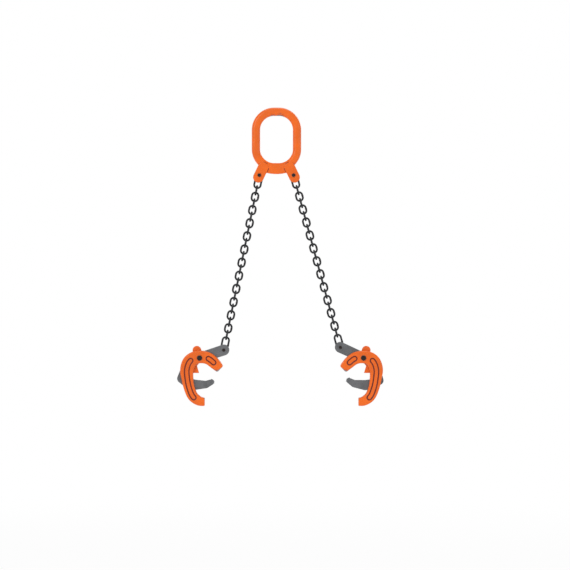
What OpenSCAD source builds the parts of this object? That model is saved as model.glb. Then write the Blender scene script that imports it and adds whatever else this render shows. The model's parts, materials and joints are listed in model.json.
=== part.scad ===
// Two-leg drum lifting clamp: a lifting eye, two chain legs and two rim clamps.
// Millimetres, +Z up, X along the spread of the legs, front face towards -Y.
// The origin is the seat of the crane hook, at the top inside of the lifting eye.

/* [Lifting eye] */
// Clear width of the eye
eye_open_w = 117; // [105:1:130]
// Clear height of the eye
eye_open_h = 169; // [150:1:200]
// Inside corner radius of the eye
eye_corner_r = 50; // [40:1:56]
// Width of the eye's bar, seen from the front
eye_bar_w = 30; // [27:0.5:34]
// Thickness of the eye's bar, front to back
eye_bar_t = 24; // [20:0.5:27]
// Height of the yoke below the opening
yoke_h = 39; // [35:0.5:45]
// Radius of the yoke's lower edge
yoke_edge_r = 150; // [120:5:250]

/* [Ears] */
// Distance of each ear pin from the middle
ear_pin_x = 61.2; // [58:0.2:66]
// Drop of the ear pins below the opening
ear_pin_drop = 43.4; // [41:0.2:48]
// Outward lean of the ears, degrees
ear_lean = 25.5; // [20:0.5:30]
// Radius of the ear's round end
ear_r = 19; // [16:0.25:20]
// Centre of the round end beyond the pin
ear_past_pin = 8; // [6:0.5:10]
// Thickness of the ears, front to back
ear_t = 28; // [26:0.5:34]
// Width of the slot that takes the chain
ear_slot = 10.5; // [9.5:0.1:12]
// Depth of the slot above the pin
ear_slot_depth = 17; // [16:0.5:18]
// Diameter of the ear pins
ear_pin_d = 10; // [8:0.5:11]

/* [Chain] */
// Diameter of the chain wire
wire_d = 7; // [6:0.1:8.4]
// Pitch of the chain
chain_pitch = 24; // [23:0.25:27]
// Outside width of a link
link_w = 30; // [27:0.25:32]
// Inside length of the long link at each end of a leg
end_link_l = 48.3; // [46:0.1:56]
// Play between one link and the next
link_play = 0.3; // [0.2:0.05:0.4]
// Play between an end link and its pin
pin_play = 0.15; // [0.1:0.05:0.3]

/* [Spread of the legs] */
// Lean of the left leg from the vertical, degrees
left_lean = 11.5; // [8:0.1:20]
// Lean of the right leg from the vertical, degrees
right_lean = 15.2; // [11:0.1:22]
// Rise of the right lever's arm above the horizontal, degrees
right_rise = 24.5; // [20:0.5:30]

/* [Lever] */
// Length of the lever's arm from main pin to chain pin
arm_l = 90.9; // [88:0.1:96]
// Radius of the lever's chain end
arm_eye_r = 19.5; // [17:0.25:20.5]
// Radius of the lever round the main pin
lever_hub_r = 18.5; // [16:0.25:19]
// Thickness of each lever plate
plate_t = 6; // [5:0.25:7]
// Gap between the two lever plates
plate_gap = 12; // [11:0.25:13]
// Diameter of the chain pin
chain_pin_d = 10; // [8:0.5:11]
// Diameter of the rivets that join the lever plates
rivet_d = 8; // [6:0.5:9]
// Diameter of the collars between the lever plates
collar_d = 14; // [11:0.5:16]

/* [Hook body] */
// Thickness of the hook body, front to back
body_t = 45; // [41:0.5:55]
// Clearance between a lever plate and the cheek beside it
cheek_gap = 0.5; // [0.3:0.05:0.8]
// Radius of the rounded edges of the forging
edge_r = 6; // [4:0.25:7]
// Diameter of the main pin
main_pin_d = 16; // [13:0.5:17]
// Depth of the recesses in the cheeks
recess_depth = 2.5; // [1:0.25:4]
// Width of the recesses in the cheeks
recess_w = 17; // [13:0.5:18]
// Foot of the slot below the main pin, where the toe block starts
slot_foot = 138; // [130:1:142]
// Reach of the toe face from the main pin, towards the other clamp
toe_reach = 18; // [12:0.5:19]
// Radius of the nose's corners, seen from the front
nose_corner_r = 6; // [3:0.25:7]

/* [Latch] */
// Side clearance of the latch between the lever plates
latch_play = 0.5; // [0.3:0.05:0.8]
// Radius of the latch round the main pin
latch_hub_r = 14.5; // [14:0.25:17]
// Radius of the latch's thumb tab
tab_r = 15.4; // [12:0.2:17]
// Height of the thumb tab's centre above the main pin
tab_h = 27.5; // [24:0.5:32]
// Length of the latch's tooth below the main pin
tooth_l = 54; // [48:0.5:58]

/* [Hidden] */
$fn = 96;
chain_no = [for (n = [1:13]) n];
SIDES = ["left", "right"];
function chain_name(side, n) = str(side, "_chain_", n < 10 ? "0" : "", n);
CLAMP_PARTS = ["hook_body", "main_pin", "main_pin_clip", "lever_front_plate", "lever_back_plate",
               "lever_rivets", "grip_jaw", "chain_pin", "chain_pin_clip", "latch", "latch_spring"];

// Colours
forging_orange = [0.95, 0.44, 0.13];
lever_grey = [0.42, 0.43, 0.44];
chain_dark = [0.16, 0.16, 0.17];
pin_dark = [0.12, 0.10, 0.10];
spring_steel = [0.55, 0.56, 0.58];

// Fits and small fasteners
bore_play = 0.1;
clip_t = 1.5;
clip_rim = 2.6;
groove_depth = 0.6;
groove_play = 0.1;
clip_stand_off = 0.3;
head_t = 3;
head_rim = 1.5;
chain_head_rim = 1;
tail_l = 1.6;
past_all = 60;
tangent_inset = 0.02;
yoke_inset = 1;
ear_root = 13;

// Places in the lifting eye
eye_bottom_z = -eye_open_h;
ear_pin_z = eye_bottom_z - ear_pin_drop;
eye_line_r = eye_corner_r + eye_bar_w / 2;
eye_line_x = (eye_open_w + eye_bar_w) / 2;

// Chain leg, measured down the leg from the ear pin
link_l = chain_pitch + link_play;
links_between = 23;
first_seat = -(ear_pin_d / 2 + pin_play);
second_top = first_seat + end_link_l - link_play;
last_top = second_top + chain_pitch * links_between;
leg_l = last_top + end_link_l - chain_pin_d / 2 - pin_play;
function link_mid(n) = n == 1 ? first_seat + end_link_l / 2
    : n == links_between + 2 ? last_top + end_link_l / 2
    : second_top + chain_pitch * (n - 2) + link_l / 2;
function link_inside(n) = (n == 1 || n == links_between + 2) ? end_link_l : link_l;

// Rest places of the clamps: both main pins lie level
function side_sign(side) = side == "left" ? -1 : 1;
function lean(side) = side == "left" ? left_lean : right_lean;
function chain_pin_z(side) = ear_pin_z - leg_l * cos(lean(side));
function chain_pin_x(side) = side_sign(side) * (ear_pin_x + leg_l * sin(lean(side)));
main_pin_z = chain_pin_z("right") - arm_l * sin(right_rise);
function rise(side) = asin((chain_pin_z(side) - main_pin_z) / arm_l);
function main_pin_x(side) = chain_pin_x(side) + side_sign(side) * arm_l * cos(rise(side));

// Stack across the clamp, front to back
plate_in = plate_gap / 2;
plate_out = plate_in + plate_t;
cheek_in = plate_out + cheek_gap;
cheek_out = body_t / 2;
latch_y = plate_in - latch_play;

// Centre line of the hook body from nose to toe: [towards the other clamp, up, width]
BODY_LINE = [[76, -42, 30], [55.5, -21.5, 39.4], [34, -3.6, 43], [10.7, 3.2, 44.4],
             [-16.1, 0.7, 46.5], [-35.8, -14.3, 50], [-45.4, -41.1, 48.3], [-44, -71.6, 42.2],
             [-37.2, -106.3, 39], [-24.3, -137, 36.9], [-1.8, -153.9, 33.3], [24, -157.6, 27]];
steps_per_span = 3;
corner_steps = 3;
nose_face_at = [74, -39.9];
nose_face_angle = 44;
nose_face_w = 32;
slot_front = 52;
slot_over_nose = -16;
back_recess = [4.75, 9.2];
nose_recess = [1.25, 2.1];

// Lever outline in the frame of its arm: [along the arm, across it, radius]
LEVER_LINE = [[0, 0, lever_hub_r], [-34.4, -0.1, 14.3], [-60.3, -18.8, 14.3], [-83.7, -50.3, 16.5],
              [-69.4, -70.7, 17], [-46, -86.2, 17.9], [-8.5, -97.7, 13.1], [12.6, -95.5, 9.8]];
COLLARS = [LEVER_LINE[2], LEVER_LINE[3]];
JAW_RIVETS = [LEVER_LINE[6], LEVER_LINE[7]];
jaw_rivet_d = 6;
jaw_inset = 2.4;
tooth_count = 5;
tooth_first = -35;
tooth_step = 26;
tooth_rise = 2;
tooth_sunk = 3;
tooth_root_w = 6.4;
tooth_tip_w = 1.2;

// Latch outline in the frame of the clamp
tab_u = -10;
tooth_tip_u = -2;
TOOTH = [[-9, 9], [9, 9], [12, -6.5], [-6, -24], [-9.5, -29], [tooth_tip_u, -tooth_l],
         [-24, -tooth_l], [-25, -30]];
spring_pocket_r = 12.6;
spring_strip = 0.7;
spring_turns = 2.25;
spring_pitch = 1.5;
spring_w = 6;
spring_tang = 2;
spring_play = 0.3;
spring_gap = 0.4;

// Round bar across the part, from y0 to y1
module pin_y(d, y0, y1) {
    translate([0, y1, 0]) rotate([90, 0, 0]) cylinder(d = d, h = y1 - y0);
}

// Extrudes a front-view outline from y0 to y1
module plate_y(y0, y1) {
    translate([0, y1, 0]) rotate([90, 0, 0]) linear_extrude(y1 - y0) children();
}

// Four-sided outline between two circles, with the straight sides that touch both
module tangent_quad(a, b) {
    run = [b[0] - a[0], b[1] - a[1]];
    along = run / norm(run);
    across = [-along[1], along[0]];
    s = (a[2] - b[2]) / norm(run);
    c = sqrt(1 - s * s);
    left_n = along * s + across * c;
    right_n = along * s - across * c;
    pa = [a[0], a[1]];
    pb = [b[0], b[1]];
    ra = a[2] - tangent_inset;
    rb = b[2] - tangent_inset;
    polygon([pa + left_n * ra, pa + right_n * ra, pb + right_n * rb, pb + left_n * rb]);
}

// Outline that runs smoothly through circles given as [x, y, radius]
module bar_chain(points) {
    for (p = points) translate([p[0], p[1]]) circle(r = p[2]);
    for (i = [0:len(points) - 2]) tangent_quad(points[i], points[i + 1]);
}

// Pin with a flat head in front and a groove for a clip behind
module headed_pin(d, head_d, y0, y1) {
    tail = y1 + clip_stand_off + clip_t + groove_play + tail_l;
    color(pin_dark) difference() {
        union() {
            pin_y(d, y0, tail);
            pin_y(head_d, y0 - head_t, y0);
        }
        difference() {
            pin_y(d + 2, y1 + clip_stand_off - groove_play, y1 + clip_stand_off + clip_t + groove_play);
            pin_y(d - 2 * groove_depth, y0, tail);
        }
    }
}

// Open retaining ring that sits in the groove of a headed pin
module pin_clip(d, y1) {
    inner = d / 2 - groove_depth + groove_play / 2;
    color(spring_steel) translate([0, y1 + clip_stand_off + clip_t, 0]) rotate([90, 0, 0])
        rotate([0, 0, 290]) rotate_extrude(angle = 320)
            translate([inner, 0]) square([clip_rim, clip_t]);
}

// Lifting eye
module eye_section() {
    r = eye_bar_t / 2;
    half = eye_bar_w / 2 - r;
    translate([half, 0]) circle(r = r);
    translate([-half, 0]) circle(r = r);
    square([2 * half, 2 * r], center = true);
}

module eye_opening() {
    half_w = eye_open_w / 2 - eye_corner_r;
    for (x = [-half_w, half_w], z = [-eye_corner_r, eye_bottom_z + eye_corner_r])
        translate([x, z]) circle(r = eye_corner_r);
    translate([-half_w, eye_bottom_z]) square([2 * half_w, eye_open_h]);
    translate([-eye_open_w / 2, eye_bottom_z + eye_corner_r])
        square([eye_open_w, eye_open_h - 2 * eye_corner_r]);
}

module eye_ring() {
    half_w = eye_line_x - eye_line_r;
    top_z = -eye_corner_r;
    low_z = eye_bottom_z + eye_corner_r;
    for (s = [-1, 1]) {
        translate([s * eye_line_x, 0, low_z]) linear_extrude(top_z - low_z) eye_section();
        mirror([s > 0 ? 0 : 1, 0, 0]) {
            translate([half_w, 0, top_z]) rotate([90, 0, 0])
                rotate_extrude(angle = 90) translate([eye_line_r, 0]) eye_section();
            translate([half_w, 0, low_z]) rotate([90, 0, 0])
                rotate_extrude(start = -90, angle = 90) translate([eye_line_r, 0]) eye_section();
        }
    }
    for (z = [eye_line_r - eye_corner_r, eye_bottom_z - eye_bar_w / 2])
        translate([-half_w, 0, z]) rotate([0, 90, 0]) linear_extrude(2 * half_w) eye_section();
}

module yoke_outline() {
    difference() {
        intersection() {
            translate([0, eye_bottom_z - yoke_h + yoke_edge_r]) circle(r = yoke_edge_r);
            translate([-ear_pin_x, eye_bottom_z - yoke_h]) square([2 * ear_pin_x, yoke_h + eye_bar_w]);
        }
        eye_opening();
    }
}

module at_ear(s) {
    translate([s * ear_pin_x, 0, ear_pin_z]) rotate([0, -s * ear_lean, 0]) children();
}

module ear_outline() {
    bar_chain([[0, -ear_past_pin, ear_r], [0, ear_slot_depth + ear_root, ear_r]]);
}

module lifting_eye() {
    color(forging_orange) difference() {
        union() {
            eye_ring();
            plate_y(-eye_bar_t / 2 + yoke_inset, eye_bar_t / 2 - yoke_inset) yoke_outline();
            for (s = [-1, 1]) mirror([s > 0 ? 0 : 1, 0, 0])
                at_ear(1) plate_y(-ear_t / 2, ear_t / 2) ear_outline();
        }
        for (s = [-1, 1]) at_ear(s) {
            translate([-past_all / 2, -ear_slot / 2, ear_slot_depth - past_all])
                cube([past_all, ear_slot, past_all]);
            pin_y(ear_pin_d + bore_play, -ear_t, ear_t);
        }
    }
}

module ear_pins() {
    for (s = [-1, 1]) translate([s * ear_pin_x, 0, ear_pin_z])
        headed_pin(ear_pin_d, ear_pin_d + 2 * head_rim, -ear_t / 2, ear_t / 2);
}

module ear_pin_clips() {
    for (s = [-1, 1]) translate([s * ear_pin_x, 0, ear_pin_z]) pin_clip(ear_pin_d, ear_t / 2);
}

// Chain: a link lies flat in the XZ plane, long way up
module chain_link(inside_l) {
    line_r = (link_w - wire_d) / 2;
    half = (inside_l + wire_d) / 2 - line_r;
    for (x = [-line_r, line_r]) translate([x, 0, -half]) cylinder(d = wire_d, h = 2 * half);
    for (up = [0, 1]) mirror([0, 0, 1 - up]) translate([0, 0, half]) rotate([90, 0, 0])
        rotate_extrude(angle = 180) translate([line_r, 0]) circle(d = wire_d);
}

module on_leg(side, down) {
    translate([side_sign(side) * ear_pin_x, 0, ear_pin_z])
        rotate([0, -side_sign(side) * lean(side), 0]) translate([0, 0, -down]) children();
}

// Two links that move as one piece: a flat one and the edge-on one below it
module chain_pair(side, n) {
    flat = 2 * n - 1;
    color(chain_dark) {
        on_leg(side, link_mid(flat)) chain_link(link_inside(flat));
        if (flat < links_between + 2)
            on_leg(side, link_mid(flat + 1)) rotate([0, 0, 90]) chain_link(link_inside(flat + 1));
    }
}

// Clamp frame: origin at the main pin, +X towards the other clamp
module at_clamp(side) {
    translate([main_pin_x(side), 0, main_pin_z]) mirror([side == "right" ? 1 : 0, 0, 0]) children();
}

// Lever frame: as the clamp frame, with +X along the arm to the chain pin
module at_lever(side) {
    at_clamp(side) rotate([0, -rise(side), 0]) children();
}

// Smooth curve through the stations of a line, by Catmull and Rom's rule
function curve_at(p, i, t) = let (
    a = p[max(i - 1, 0)], b = p[i], c = p[i + 1], d = p[min(i + 2, len(p) - 1)]
) (2 * b + (c - a) * t + (2 * a - 5 * b + 4 * c - d) * t * t + (3 * b - a - 3 * c + d) * t * t * t) / 2;
function curve_point(p, at) = let (i = min(floor(at), len(p) - 2)) curve_at(p, i, at - i);
body_stations = [for (k = [0:steps_per_span * (len(BODY_LINE) - 1)])
    curve_point(BODY_LINE, k / steps_per_span)];

// Quarter-turn corners of the forging's section, as [share of the half width, inset, y]
function section_ring(half_w) = [for (q = [0:3], k = [0:corner_steps]) let (
    turn = 90 * q + 90 * k / corner_steps,
    sx = (q == 0 || q == 3) ? 1 : -1,
    sy = q < 2 ? 1 : -1
) [sx * (half_w - edge_r) + edge_r * cos(turn), sy * (cheek_out - edge_r) + edge_r * sin(turn)]];

function station_ring(k) = let (
    last = len(body_stations) - 1,
    p = body_stations[k],
    ahead = body_stations[min(k + 1, last)],
    behind = body_stations[max(k - 1, 0)],
    run = [ahead[0] - behind[0], ahead[1] - behind[1]],
    out = [run[1], -run[0]] / norm(run)
) [for (c = section_ring(p[2] / 2)) [p[0] + out[0] * c[0], c[1], p[1] + out[1] * c[0]]];

// Forged band, swept along its centre line
module body_forging() {
    m = len(body_stations);
    n = 4 * (corner_steps + 1);
    points = [for (k = [0:m - 1]) each station_ring(k)];
    sides = [for (k = [0:m - 2], j = [0:n - 1]) let (j2 = (j + 1) % n)
        [k * n + j, k * n + j2, (k + 1) * n + j2, (k + 1) * n + j]];
    start_cap = [for (j = [n - 1:-1:0]) j];
    end_cap = [for (j = [0:n - 1]) (m - 1) * n + j];
    polyhedron(points, concat([start_cap], sides, [end_cap]), convexity = 6);
}

// What the rounded corners of the nose leave off, in the frame of the nose face
module nose_corners() {
    mid = nose_face_w / 2 - nose_corner_r;
    difference() {
        translate([-nose_corner_r, -past_all]) square([past_all, 2 * past_all]);
        for (z = [-mid, mid]) translate([-nose_corner_r, z]) circle(r = nose_corner_r);
        translate([-nose_corner_r - 1, -mid]) square([nose_corner_r + 1, 2 * mid]);
    }
}

function recess_points(span) = [for (at = [span[0]:(span[1] - span[0]) / 12:span[1] + 0.001])
    let (p = curve_point(BODY_LINE, at)) [p[0], p[1], recess_w / 2]];

module hook_body(side) {
    color(forging_orange) at_clamp(side) difference() {
        body_forging();
        translate([-past_all * 2, -cheek_in, -slot_foot])
            cube([past_all * 2 + slot_front, 2 * cheek_in, slot_foot + past_all]);
        translate([0, -cheek_in, slot_over_nose]) cube([past_all * 2, 2 * cheek_in, past_all * 2]);
        translate([toe_reach, -past_all, -3 * past_all]) cube([past_all, 2 * past_all, past_all]);
        translate([nose_face_at[0], 0, nose_face_at[1]]) rotate([0, nose_face_angle, 0])
            plate_y(-past_all, past_all) nose_corners();
        pin_y(main_pin_d + bore_play, -body_t, body_t);
        for (y = [-1, 1]) for (span = [back_recess, nose_recess])
            translate([0, y * (cheek_out + past_all / 2 - recess_depth), 0])
                plate_y(-past_all / 2, past_all / 2) bar_chain(recess_points(span));
    }
}

module main_pin(side) {
    at_clamp(side) difference() {
        headed_pin(main_pin_d, main_pin_d + 2 * head_rim, -cheek_out, cheek_out);
        translate([main_pin_d / 2 - spring_tang - spring_play, -spring_w / 2 - spring_play,
                   -spring_strip - spring_play])
            cube([main_pin_d, spring_w + 2 * spring_play, spring_strip + 2 * spring_play]);
    }
}

module main_pin_clip(side) {
    at_clamp(side) pin_clip(main_pin_d, cheek_out);
}

// Lever
module lever_outline() {
    difference() {
        bar_chain(concat([[arm_l, 0, arm_eye_r]], LEVER_LINE));
        circle(d = main_pin_d + bore_play);
        translate([arm_l, 0]) circle(d = chain_pin_d + bore_play);
        for (p = COLLARS) translate([p[0], p[1]]) circle(d = rivet_d);
        for (p = JAW_RIVETS) translate([p[0], p[1]]) circle(d = jaw_rivet_d);
    }
}

module lever_plate(side, y0) {
    color(lever_grey) at_lever(side) plate_y(y0, y0 + plate_t) lever_outline();
}

module lever_rivets(side) {
    color(lever_grey) at_lever(side) {
        for (p = COLLARS) translate([p[0], 0, p[1]]) {
            pin_y(rivet_d, -plate_out, plate_out);
            pin_y(collar_d, -plate_in, plate_in);
        }
        for (p = JAW_RIVETS) translate([p[0], 0, p[1]]) pin_y(jaw_rivet_d, -plate_out, plate_out);
    }
}

module tooth_outline(tip_r) {
    polygon([[tip_r - tooth_sunk, -tooth_root_w / 2], [tip_r + tooth_rise, -tooth_tip_w / 2],
             [tip_r + tooth_rise, tooth_tip_w / 2], [tip_r - tooth_sunk, tooth_root_w / 2]]);
}

// Toothed jaw that fills the finger between the plates and stands proud at its tip
module jaw_outline() {
    root = LEVER_LINE[6];
    tip = LEVER_LINE[7];
    difference() {
        union() {
            bar_chain([[root[0], root[1], root[2] - jaw_inset], tip]);
            for (k = [0:tooth_count - 1]) translate([tip[0], tip[1]])
                rotate(tooth_first + tooth_step * k) tooth_outline(tip[2]);
        }
        for (p = JAW_RIVETS) translate([p[0], p[1]]) circle(d = jaw_rivet_d);
    }
}

module grip_jaw(side) {
    color(lever_grey) at_lever(side) plate_y(-plate_in, plate_in) jaw_outline();
}

module chain_pin(side) {
    at_lever(side) translate([arm_l, 0, 0])
        headed_pin(chain_pin_d, chain_pin_d + 2 * chain_head_rim, -plate_out, plate_out);
}

module chain_pin_clip(side) {
    at_lever(side) translate([arm_l, 0, 0]) pin_clip(chain_pin_d, plate_out);
}

// Spring latch on the main pin
module latch(side) {
    color(forging_orange) at_clamp(side) difference() {
        union() {
            plate_y(-latch_y, latch_y) bar_chain([[0, 0, latch_hub_r], [tab_u, tab_h, tab_r]]);
            plate_y(-latch_y, latch_y) polygon(TOOTH);
        }
        pin_y(main_pin_d + bore_play, -past_all, past_all);
        pin_y(2 * spring_pocket_r, -spring_w / 2 - spring_play, past_all);
    }
}

// Spiral spring in the latch's pocket: its inner end sits in the slot of the main pin
function spiral(r0, turns, pitch, offset) = [for (k = [0:36 * turns]) let (
    turn = 10 * k, r = r0 + offset + pitch * turn / 360
) [r * cos(turn), r * sin(turn)]];

module latch_spring(side) {
    r0 = main_pin_d / 2 + spring_gap;
    inner = spiral(r0, spring_turns, spring_pitch, 0);
    outer = spiral(r0, spring_turns, spring_pitch, spring_strip);
    tang_end = main_pin_d / 2 - spring_tang;
    color(spring_steel) at_clamp(side) plate_y(-spring_w / 2, spring_w / 2)
        polygon(concat(inner, [for (k = [len(outer) - 1:-1:0]) outer[k]],
            [[r0 + spring_strip, -spring_strip], [tang_end, -spring_strip], [tang_end, 0]]));
}

lifting_eye();
ear_pins();
ear_pin_clips();
for (side = SIDES, n = chain_no)
    chain_pair(side, n);
for (side = SIDES) {
    hook_body(side);
    main_pin(side);
    main_pin_clip(side);
    lever_plate(side, -plate_out);
    lever_plate(side, plate_in);
    lever_rivets(side);
    grip_jaw(side);
    chain_pin(side);
    chain_pin_clip(side);
    latch(side);
    latch_spring(side);
}
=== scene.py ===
"""Looks of a two-leg drum lifting clamp: forged eye, two chain legs, two rim clamps.

Metres, +Z up, X along the spread of the legs, front face towards -Y. The origin is the seat of the
crane hook, at the top inside of the lifting eye.
"""

import json
import math
from itertools import product

import bmesh
import bpy
import numpy as np
from bpy.props import FloatProperty, FloatVectorProperty, IntProperty, PointerProperty
from mathutils import Matrix, Vector


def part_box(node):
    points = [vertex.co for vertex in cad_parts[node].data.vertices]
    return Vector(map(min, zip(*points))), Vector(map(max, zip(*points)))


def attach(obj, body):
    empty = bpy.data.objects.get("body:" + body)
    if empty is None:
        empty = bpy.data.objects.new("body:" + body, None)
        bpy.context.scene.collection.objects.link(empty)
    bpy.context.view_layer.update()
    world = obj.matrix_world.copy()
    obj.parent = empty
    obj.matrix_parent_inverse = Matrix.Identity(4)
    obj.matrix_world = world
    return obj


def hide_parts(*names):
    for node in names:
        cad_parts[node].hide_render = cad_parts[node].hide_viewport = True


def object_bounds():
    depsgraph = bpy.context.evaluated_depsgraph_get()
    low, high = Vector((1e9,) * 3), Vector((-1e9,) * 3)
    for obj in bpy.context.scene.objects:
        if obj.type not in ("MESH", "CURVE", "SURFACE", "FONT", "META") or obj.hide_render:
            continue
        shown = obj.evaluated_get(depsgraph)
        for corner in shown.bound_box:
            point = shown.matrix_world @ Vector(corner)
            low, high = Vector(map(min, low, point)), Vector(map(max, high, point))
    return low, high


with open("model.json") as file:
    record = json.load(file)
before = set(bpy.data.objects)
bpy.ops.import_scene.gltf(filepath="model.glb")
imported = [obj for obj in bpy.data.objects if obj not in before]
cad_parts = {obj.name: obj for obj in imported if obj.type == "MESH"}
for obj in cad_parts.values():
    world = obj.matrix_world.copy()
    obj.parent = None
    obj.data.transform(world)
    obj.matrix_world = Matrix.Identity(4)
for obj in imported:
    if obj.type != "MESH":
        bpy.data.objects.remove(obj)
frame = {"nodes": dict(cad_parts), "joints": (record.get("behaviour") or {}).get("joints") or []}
cad_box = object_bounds()

bl_info = {
    "name": "Drum lifting clamp",
    "version": (1, 0, 0),
    "blender": (4, 5, 0),
    "location": "3D View > Sidebar > Drum clamp",
    "description": "Dresses the eye, chain legs and rim clamps of a drum lifting clamp",
    "category": "Object",
}

MM = 0.001
SIDES = ("left", "right")
JOINTS = {joint["name"]: joint for joint in frame["joints"]}
# Nodes of a leg, each of two links, with a single link in the last one
CHAIN_PIECES = sum(
    name.startswith("left_chain_") and name[-2:].isdigit() for name in frame["nodes"]
)
LINKS = 2 * CHAIN_PIECES - 1


def pivot(joint):
    """The point that a joint turns about."""
    return Vector(JOINTS[joint]["pos_m"])


def linear(colour):
    """The light values that a shader uses for a colour written as it looks on screen."""
    return tuple(c / 12.92 if c <= 0.04045 else ((c + 0.055) / 1.055) ** 2.4 for c in colour)


def size_property(name, value, description):
    """A length, given in millimetres and kept in metres."""
    return FloatProperty(
        name=name, default=value * MM, description=description, unit="LENGTH", precision=4
    )


def colour_property(name, value, description):
    return FloatVectorProperty(
        name=name, default=value, description=description,
        subtype="COLOR_GAMMA", size=3, min=0, max=1,
    )


def steps_property(name, value, least, description):
    return IntProperty(name=name, default=value, min=least, description=description)


class ForgingSizes(bpy.types.PropertyGroup):
    thickness: size_property("Thickness", 45, "Thickness of the hook body, front to back")
    edge_radius: size_property("Edge radius", 6, "Radius of the rounded edges of the hook body")
    slot_width: size_property("Slot width", 25, "Width of the slot that takes the lever")
    slot_front: size_property("Slot front", 52, "End of the slot near the nose, from the main pin")
    slot_foot: size_property("Slot foot", 138, "Foot of the slot, below the main pin")
    over_nose: size_property("Slot over nose", 16, "Depth of the open groove over the nose")
    toe_reach: size_property("Toe reach", 18, "Reach of the toe face from the main pin")
    recess_width: size_property("Recess width", 17, "Width of the recesses in the cheeks")
    recess_depth: size_property("Recess depth", 2.5, "Depth of the recesses in the cheeks")
    recess_draft: size_property("Recess draft", 3.4, "Width of the sloping walls of the recesses")
    # Where the dark line along each recess's wall lies and how far it fades: painted shade, with
    # some soiling
    dirt_inset: size_property("Dirt inset", 0.4, "Middle of the dirt line, inside a recess's edge")
    dirt_reach: size_property("Dirt reach", 5, "Distance over which the dirt line fades out")
    bore: size_property("Bore", 16.1, "Bore for the main pin")
    nose_width: size_property("Nose width", 32, "Width of the nose at its end face")
    nose_corner: size_property("Nose corner", 6, "Radius of the nose's corners, from the front")
    eye_rub: size_property("Eye rub", 34, "Reach of the wear where the crane hook rubs the eye")
    rim_rub: size_property("Rim rub", 26, "Reach of the wear on the nose and the toe")
    grid: size_property("Grid", 1.1, "Mesh grid that the eye and hook bodies are rounded on")


class ChainSizes(bpy.types.PropertyGroup):
    wire: size_property("Wire", 7, "Diameter of the chain wire")
    pitch: size_property("Pitch", 24, "Pitch of the chain")
    width: size_property("Width", 30, "Outside width of a link")
    end_link: size_property("End link", 48.3, "Inside length of the long link at a leg's ends")
    link_play: size_property("Link play", 0.3, "Play between one link and the next")
    pin_play: size_property("Pin play", 0.15, "Play between an end link and its pin")
    pin: size_property("Pin", 10, "Diameter of the pins that the end links hang on")
    weld_rise: size_property("Weld rise", 0.4, "Rise of the weld bead round the wire")
    weld_length: size_property("Weld length", 2.6, "Half length of the weld bead")
    round_steps: steps_property("Round steps", 24, 8, "Faces round the wire")
    bend_steps: steps_property("Bend steps", 24, 8, "Rings in each end bend")
    side_steps: steps_property("Side steps", 14, 4, "Rings in each straight side")


class LeverSizes(bpy.types.PropertyGroup):
    pin_rub: size_property("Pin rub", 26, "Reach of the wear round the chain pin")
    hub_rub: size_property("Hub rub", 60, "Reach of the wear round the main pin")


class PinSizes(bpy.types.PropertyGroup):
    main: size_property("Main pin", 16, "Diameter of the main pins")
    chain: size_property("Chain pin", 10, "Diameter of the chain pins in the levers")
    ear: size_property("Ear pin", 10, "Diameter of the ear pins")
    head: size_property("Head", 3, "Thickness of the pin heads")
    chamfer: size_property("Chamfer", 0.6, "Chamfer on heads and tails")
    groove_depth: size_property("Groove depth", 0.6, "Depth of the groove for a retaining ring")
    groove_play: size_property("Groove play", 0.1, "Play of a retaining ring in its groove")
    ring: size_property("Ring width", 2.6, "Width of a retaining ring at its top")
    steps: steps_property("Steps", 96, 16, "Faces round a pin")


class FinishColours(bpy.types.PropertyGroup):
    forging: colour_property("Forging", (1.0, 0.43, 0.03), "Paint of eye, hook bodies and latches")
    lever: colour_property("Lever", (0.395, 0.40, 0.41), "Paint of the lever plates")
    jaw: colour_property("Jaw", (0.40, 0.405, 0.415), "Hardened steel of the toothed jaws")
    chain: colour_property("Chain", (0.145, 0.15, 0.16), "Blackened chain steel")
    pin: colour_property("Pin", (0.10, 0.055, 0.045), "Blackened pins")
    spring: colour_property("Spring", (0.58, 0.59, 0.61), "Steel of the rings and latch springs")
    straw: colour_property("Straw", (0.66, 0.63, 0.56), "Straw tint that tempering leaves")
    bare_steel: colour_property("Bare steel", (0.56, 0.56, 0.57), "Steel where the finish is gone")
    primer: colour_property("Primer", (0.50, 0.16, 0.09), "Primer, where the paint has rubbed thin")
    # Dark red-brown painted into the inner corners and recess walls of the forgings: painted shade,
    # with some soiling
    grime: colour_property("Grime", (0.36, 0.01, 0.0), "Dirt that settles in the corners")
    background: colour_property("Background", (1.0, 1.0, 1.0), "Background behind the object")


class StageSizes(bpy.types.PropertyGroup):
    picture_width: size_property("Picture width", 2040, "Width of the picture at the object")
    focal: size_property("Focal length", 200, "Focal length of the lens")
    picture_x: size_property("Picture middle", 30.5, "Middle of the picture, right of the origin")
    picture_z: size_property("Picture height", -605, "Middle of the picture, above the origin")
    floor_drop: size_property("Floor drop", 640, "Gap from the lowest toe to the floor")
    floor_radius: size_property("Floor radius", 40000, "Radius of the floor")
    surround: FloatProperty(
        name="Surroundings", default=0.6, min=0, description="Light level of the surroundings"
    )


GROUPS = {
    "drum_clamp_forging": ForgingSizes,
    "drum_clamp_chain": ChainSizes,
    "drum_clamp_lever": LeverSizes,
    "drum_clamp_pins": PinSizes,
    "drum_clamp_colours": FinishColours,
    "drum_clamp_stage": StageSizes,
}

# Centre line of a hook body from nose to toe: towards the other clamp, up, width, in millimetres
BODY_LINE = (
    (76, -42, 30), (55.5, -21.5, 39.4), (34, -3.6, 43), (10.7, 3.2, 44.4), (-16.1, 0.7, 46.5),
    (-35.8, -14.3, 50), (-45.4, -41.1, 48.3), (-44, -71.6, 42.2), (-37.2, -106.3, 39),
    (-24.3, -137, 36.9), (-1.8, -153.9, 33.3), (24, -157.6, 27),
)
# Stretches of that line with a recess, counted in its stations
RECESSES = ((4.75, 9.2), (1.25, 2.1))
# Middle of the nose's end face, in millimetres along and up, and its lean in degrees
NOSE_FACE = (74, -39.9)
NOSE_FACE_ANGLE = 44
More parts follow.
